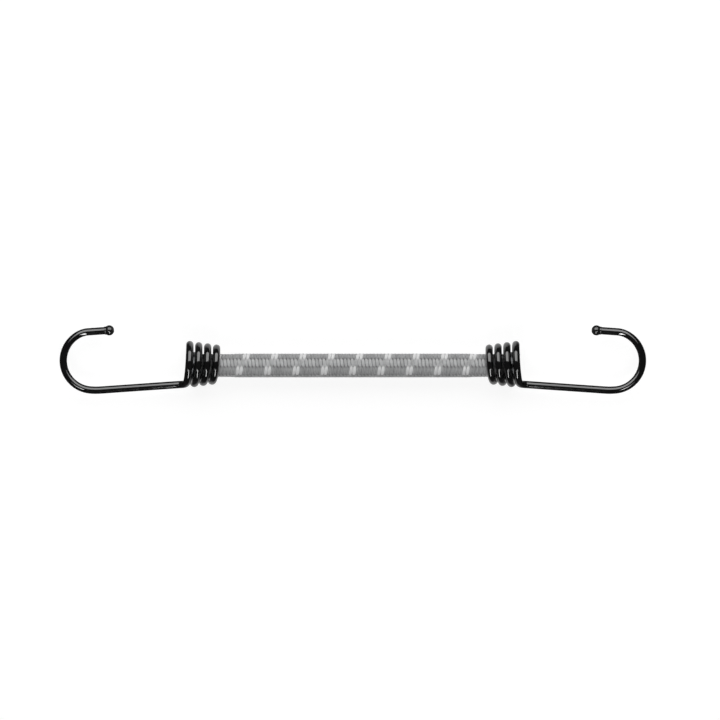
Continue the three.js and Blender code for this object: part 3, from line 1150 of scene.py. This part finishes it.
@dataclass
class TipCap:
    """The moulded ball that is pushed over the wire's end, with a flared neck."""

    length: float = 4.12 * MM  # From the mouth to the top of the ball.
    grip: float = 2.6 * MM  # How deep the bore is.
    bore_radius: float = 1.57 * MM  # The bore's radius.
    lip_radius: float = 1.70 * MM  # The neck's outer radius at the mouth.
    neck_radius: float = 1.66 * MM  # The neck's radius behind the lip.
    ball_radius: float = 2.12 * MM  # The greatest radius.
    ball_height: float = 2.02 * MM  # Where the greatest radius lies, from the mouth.
    flare_start: float = 0.30 * MM  # Where the neck starts to open out into the ball.
    flare_end: float = 0.95 * MM  # Where it runs into the ball.
    flare_power: float = 2.2  # How late it opens out between the two.
    lip_round: float = 0.12 * MM  # The rounding of the lip.
    lip_steps: int = 6  # Points on that.
    gate_radius: float = 0.45 * MM  # The radius of the dimple that the moulding gate leaves.
    gate_depth: float = 0.07 * MM  # Its depth.
    gate_reach: float = 1.4  # How far out it ends, as a share of that radius.
    seam_height: float = 0.025 * MM  # The height of the moulding seam on either side.
    seam_degrees: float = 3.0  # Half of its width, round the cap.
    segments: int = 72  # Points round the cap.
    curve_steps: int = 16  # Points on a quarter of the ball, or twice those on the flare.

    def profile(self) -> np.ndarray:
        """Draws the outline that is turned into the cap.

        Returns:
            Rows of height above the mouth and radius, from the bore's floor to the top.
        """
        rows = [(self.grip, 0.0), (self.grip, self.bore_radius), (self.lip_round, self.bore_radius)]
        wall = self.lip_radius - self.bore_radius
        for swing in math.pi * np.linspace(0.0, 1.0, self.lip_steps):
            rows.append((self.lip_round * (1 - math.sin(swing)),
                         self.bore_radius + wall * (1 - math.cos(swing)) / 2))
        start = -math.asin((self.ball_height - self.flare_end) / self.ball_radius)
        joint = self.ball_radius * math.cos(start)
        for share in np.linspace(0.0, 1.0, self.curve_steps // 2 + 1)[1:-1]:
            height = self.flare_start + (self.flare_end - self.flare_start) * share
            rows.append((height, self.neck_radius + (joint - self.neck_radius) * share**self.flare_power))
        dome = self.length - self.ball_height
        for share in np.linspace(0.0, 1.0, 2 * self.curve_steps + 1):
            swing = start + (math.pi / 2 - start) * share
            radius = self.ball_radius * math.cos(swing)
            stretch, sunk = self.ball_radius, 0.0
            if swing > 0:
                dimple = smoothstep(np.array(self.gate_reach - radius / self.gate_radius))
                stretch, sunk = dome, self.gate_depth * float(dimple)
            rows.append((self.ball_height + stretch * math.sin(swing) - sunk, max(radius, 0.0)))
        return np.array(rows)

    def draft(self, seat: np.ndarray, direction: np.ndarray) -> MeshDraft:
        """Turns the outline round the wire's tip.

        Args:
            seat: The point on the wire's axis where the bore's floor lies.
            direction: The direction in which the tip points.

        Returns:
            A draft of the closed cap.
        """
        aside = np.cross(direction, UP)
        profile = self.profile()
        turn = angles_round(self.segments)
        off_seam = np.abs((turn + math.pi / 2) % math.pi - math.pi / 2) / math.radians(self.seam_degrees)
        ridge = self.seam_height * np.exp(-off_seam**2)
        outside = smoothstep((profile[:, 1] - self.bore_radius) / (self.lip_radius - self.bore_radius))
        radius = profile[1:-1, 1][:, None] + outside[1:-1, None] * ridge[None, :]
        height = profile[1:-1, 0] - self.grip
        round_it = np.cos(turn)[:, None] * aside + np.sin(turn)[:, None] * UP
        rings = seat + height[:, None, None] * direction + radius[:, :, None] * round_it[None, :, :]
        made = MeshDraft()
        first = made.add_tube(rings, end_slots=())
        floor = made.add_points(seat)
        top = made.add_points(seat + (profile[-1, 0] - self.grip) * direction)
        last = first + (len(rings) - 1) * self.segments
        for k in range(self.segments):
            beside = (k + 1) % self.segments
            made.add_face((first + k, floor, first + beside))
            made.add_face((last + k, last + beside, top))
        return made


@dataclass
class CordClip:
    """A steel strip bent round the cord's end, which can't pass the coil's narrow turns."""

    side: Side  # Which end of the cord it holds.
    cord: CordLine  # Where the cord lies.
    thickness: float = 0.6 * MM  # The strip's thickness.
    slit: float = 1.2 * MM  # The gap between the strip's two ends.
    edge_radius: float = 0.14 * MM  # The rounding of its edges.
    segments: int = 110  # Sections round the strip.
    corner_steps: int = 4  # Points on the rounding of an edge.
    crease_degrees: float = 50.0  # Edges of the mesh that turn more than this stay sharp.

    def section(self, width: float) -> np.ndarray:
        """Draws the strip's section, with rounded edges.

        Args:
            width: The strip's width along the cord.

        Returns:
            Rows of place along the cord and height, both from the section's middle.
        """
        rows = []
        half_width, half_height = width / 2 - self.edge_radius, self.thickness / 2 - self.edge_radius
        for number, (east, north) in enumerate([(1, 1), (-1, 1), (-1, -1), (1, -1)]):
            for step in range(self.corner_steps + 1):
                swing = math.pi / 2 * (number + step / self.corner_steps)
                rows.append((east * half_width + self.edge_radius * math.cos(swing),
                             north * half_height + self.edge_radius * math.sin(swing)))
        return np.array(rows)

    def build(self) -> Piece:
        """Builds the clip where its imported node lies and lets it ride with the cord's end.

        Returns:
            The new object.
        """
        node = f"{self.side.word}_cord_clip"
        low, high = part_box(node)
        middle_radius = (high.y - low.y) / 2 - self.thickness / 2
        half_slit = math.asin(self.slit / 2 / middle_radius)
        angle = np.linspace(half_slit, FULL_TURN - half_slit, self.segments + 1)
        section = self.section(high.x - low.x)
        along = np.broadcast_to((low.x + high.x) / 2 + section[:, 0], (len(angle), len(section)))
        radius = middle_radius + section[:, 1][None, :]
        rings = self.cord.on_surface(along, radius, np.broadcast_to(angle[:, None], along.shape))
        draft = MeshDraft()
        draft.add_tube(rings[::-1])
        piece = draft.to_object(f"{self.side.word}_clip", [ZincStrip().build()], self.crease_degrees)
        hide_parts(node)
        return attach(piece, f"{self.side.word}_end")


@dataclass
class SoftBox:
    """A rectangular studio lamp that faces the cord.

    WATTS_PER_RADIANCE is the power of a lamp of one square metre and radiance 1, and OPEN
    the cone of a lamp that isn't narrowed, in degrees.
    """

    WATTS_PER_RADIANCE = 4.0
    OPEN = 180.0

    name: str  # The lamp's name.
    lean_degrees: float  # How far its middle leans from straight up, towards +Y if positive.
    distance: float  # From the cord to its middle.
    width: float  # Its size along X.
    height: float  # Its size across.
    radiance: float  # How bright its face is, where white paper in full light is 1.
    middle_x: float = 0.0  # Its middle along X.
    aim_x: float = 0.0  # The place along X that it faces.
    spread_degrees: float = OPEN  # The full angle of the cone that it lights.

    def cone_share(self) -> float:
        """Makes up for a narrow cone, which would else shine brighter.

        Returns:
            The share of an open lamp's power that gives the same brightness.
        """
        if self.spread_degrees >= self.OPEN:
            return 1.0
        half = math.radians(self.spread_degrees / 2)
        return 1 - half / math.tan(half)

    def build(self, target: Vector) -> None:
        """Makes the lamp and turns it to the cord.

        Args:
            target: The middle of the cord.
        """
        lamp = bpy.data.lights.new(self.name, "AREA")
        lamp.shape = "RECTANGLE"
        lamp.size, lamp.size_y = self.width, self.height
        area = self.width * self.height
        lamp.energy = self.radiance * area * self.WATTS_PER_RADIANCE * self.cone_share()
        lamp.spread = math.radians(self.spread_degrees)
        holder = bpy.data.objects.new(self.name, lamp)
        lean = math.radians(self.lean_degrees)
        offset = Vector((self.middle_x, math.sin(lean) * self.distance, math.cos(lean) * self.distance))
        holder.location = target + offset
        facing = Vector((self.aim_x - self.middle_x, -offset.y, -offset.z))
        holder.rotation_euler = facing.to_track_quat("-Z", "Y").to_euler()
        holder.visible_camera = False
        bpy.context.scene.collection.objects.link(holder)


@dataclass
class Studio:
    """The camera straight above, the white table and the soft lamps."""

    cord: CordLine  # Where the cord lies.
    frame_width: float = 302.4 * MM  # How much of the cord's plane the picture shows from side to side.
    aim_x: float = 3.0 * MM  # The place along X that the picture is centred on.
    aim_y: float = -0.263 * MM  # The place across that it is centred on.
    camera_distance: float = 6.0  # From the cord's axis up to the lens.
    camera_reach: float = 20.0  # How far the lens sees.
    table_half: float = 6.0  # Half of the table's side.
    table_gap: float = 0.02 * MM  # How far the table's top lies below the part.
    ambient: float = 0.03  # How bright the room is round the lamps.
    table_white: float = 0.8  # The table's own tone, by which it lights the part.
    table_seen: float = 0.22  # Its tone to the lens, under the glow.
    table_mirrored: float = 0.45  # Its tone as the part mirrors it, near the part.
    table_far_mirrored: float = 0.05  # The same further out.
    backdrop_glow: float = 0.86  # The table's glow to the lens, where 1 is white.
    mirrored_glow: float = 0.20  # Its glow as the part mirrors it, near the part.
    shine_x: float = 72.0 * MM  # How far near the part reaches along X, to either side.
    shine_y: tuple[float, float] = (-36.0 * MM, 56.0 * MM)  # From where to where it reaches across.
    shine_edge: float = 6.0 * MM  # Half of the width of its soft edge.
    lamps: tuple[SoftBox, ...] = (
        SoftBox("rear_box", 44.0, 0.50, 0.74, 0.50, 1.85),
        SoftBox("front_strip", -50.0, 0.60, 0.08, 0.46, 9.0),
        SoftBox("left_box", -27.0, 0.56, 0.20, 0.10, 13.0, -0.30, -0.23, 32.0),
        SoftBox("right_box", -27.0, 0.56, 0.20, 0.10, 13.0, 0.30, 0.23, 32.0),
    )

    def build_camera(self) -> None:
        """Makes the camera, which looks straight down with a long lens."""
        lens = bpy.data.cameras.new("camera")
        lens.lens = lens.sensor_width * self.camera_distance / self.frame_width
        lens.clip_end = self.camera_reach
        holder = bpy.data.objects.new("camera", lens)
        holder.location = (self.aim_x, self.aim_y, self.cord.axis_z + self.camera_distance)
        bpy.context.scene.collection.objects.link(holder)
        bpy.context.scene.camera = holder

    def near_part(self, shader: Shader) -> Socket:
        """Tells the table near the part from the rest of it, with soft edges.

        Args:
            shader: The table's shader, which takes the nodes.

        Returns:
            A value of 1 near the part and 0 further out.
        """
        position = shader.node("NewGeometry").outputs["Position"]
        place = shader.node("SeparateXYZ", {0: position}).outputs
        edge = self.shine_edge
        spans = ((shader.maths("ABSOLUTE", place["X"]), -self.shine_x, self.shine_x),
                 (place["Y"], *self.shine_y))
        bands = [shader.maths("MULTIPLY", shader.spread(value, 0.0, 1.0, low - edge, low + edge),
                              shader.spread(value, 1.0, 0.0, high - edge, high + edge))
                 for value, low, high in spans]
        return shader.maths("MULTIPLY", *bands)

    def table_finish(self) -> Material:
        """Makes the table's white, which shows white to the lens and keeps soft shadows.

        Returns:
            The new material.
        """
        shader = Shader("white_table", Roughness=1.0, Specular_IOR_Level=0.0, Emission_Color=WHITE)
        path = shader.node("LightPath").outputs
        near = self.near_part(shader)
        to_gloss = shader.maths("MAXIMUM", path["Is Glossy Ray"], path["Is Transmission Ray"])
        to_lens = path["Is Camera Ray"]
        shader.feed("Emission Strength", shader.maths(
            "ADD", shader.maths("MULTIPLY", to_lens, self.backdrop_glow),
            shader.maths("MULTIPLY", to_gloss, near, self.mirrored_glow)))
        in_gloss = shader.spread(near, self.table_far_mirrored, self.table_mirrored, 0.0, 1.0)
        less_in_gloss = shader.maths("SUBTRACT", self.table_white, in_gloss)
        less = shader.maths("ADD", shader.maths("MULTIPLY", to_gloss, less_in_gloss),
                            shader.maths("MULTIPLY", to_lens, self.table_white - self.table_seen))
        shader.feed("Base Color", shader.maths("SUBTRACT", self.table_white, less))
        return shader.material

    def build_table(self) -> None:
        """Makes the table, one square face under the part."""
        draft = MeshDraft()
        reach = self.table_half
        corners = [(-reach, -reach), (reach, -reach), (reach, reach), (-reach, reach)]
        draft.add_points(np.array([(x, y, -self.table_gap) for x, y in corners]))
        draft.add_face((0, 1, 2, 3))
        table = draft.to_object("table", [self.table_finish()])

    def build_room(self) -> None:
        """Makes the dim room, which shows white only to the lens."""
        world = bpy.data.worlds.new("room")
        world.use_nodes = True
        bpy.context.scene.world = world
        nodes = Nodes(world.node_tree)
        seen = nodes.node("LightPath").outputs["Is Camera Ray"]
        backdrop = nodes.tree.nodes["Background"]
        backdrop.inputs["Color"].default_value = WHITE
        level = nodes.spread(seen, self.ambient, 1.0, 0.0, 1.0)
        nodes.tree.links.new(level, backdrop.inputs["Strength"])

    def build_lamps(self) -> None:
        """Makes all the lamps, each facing the middle of the cord."""
        target = Vector((0.0, self.cord.axis_y, self.cord.axis_z))
        for lamp in self.lamps:
            lamp.build(target)

    def build(self) -> None:
        """Sets up the whole studio."""
        bpy.context.scene.view_settings.view_transform = "Standard"
        self.build_camera()
        self.build_table()
        self.build_room()
        self.build_lamps()


def report(pieces: list[Piece]) -> None:
    """Logs each piece's name and size in faces."""
    for piece in pieces:
        LOG.info("%s: %d faces", piece.name, len(piece.data.polygons))


def main() -> None:
    """Builds the studio and then every piece, the cord first."""
    logging.basicConfig(level=logging.INFO, format="%(name)s: %(message)s")
    line = CordLine.from_frame()
    Studio(line).build()
    plan = CordPlan(line)
    sheath = BraidedSheath(plan).build()
    report(sheath)
    core = RubberCore(plan).build()
    report(core)
    for side in Side:
        report(Hook(side, line).build())
        report([CordClip(side, line).build()])


if __name__ == "__main__":
    main()
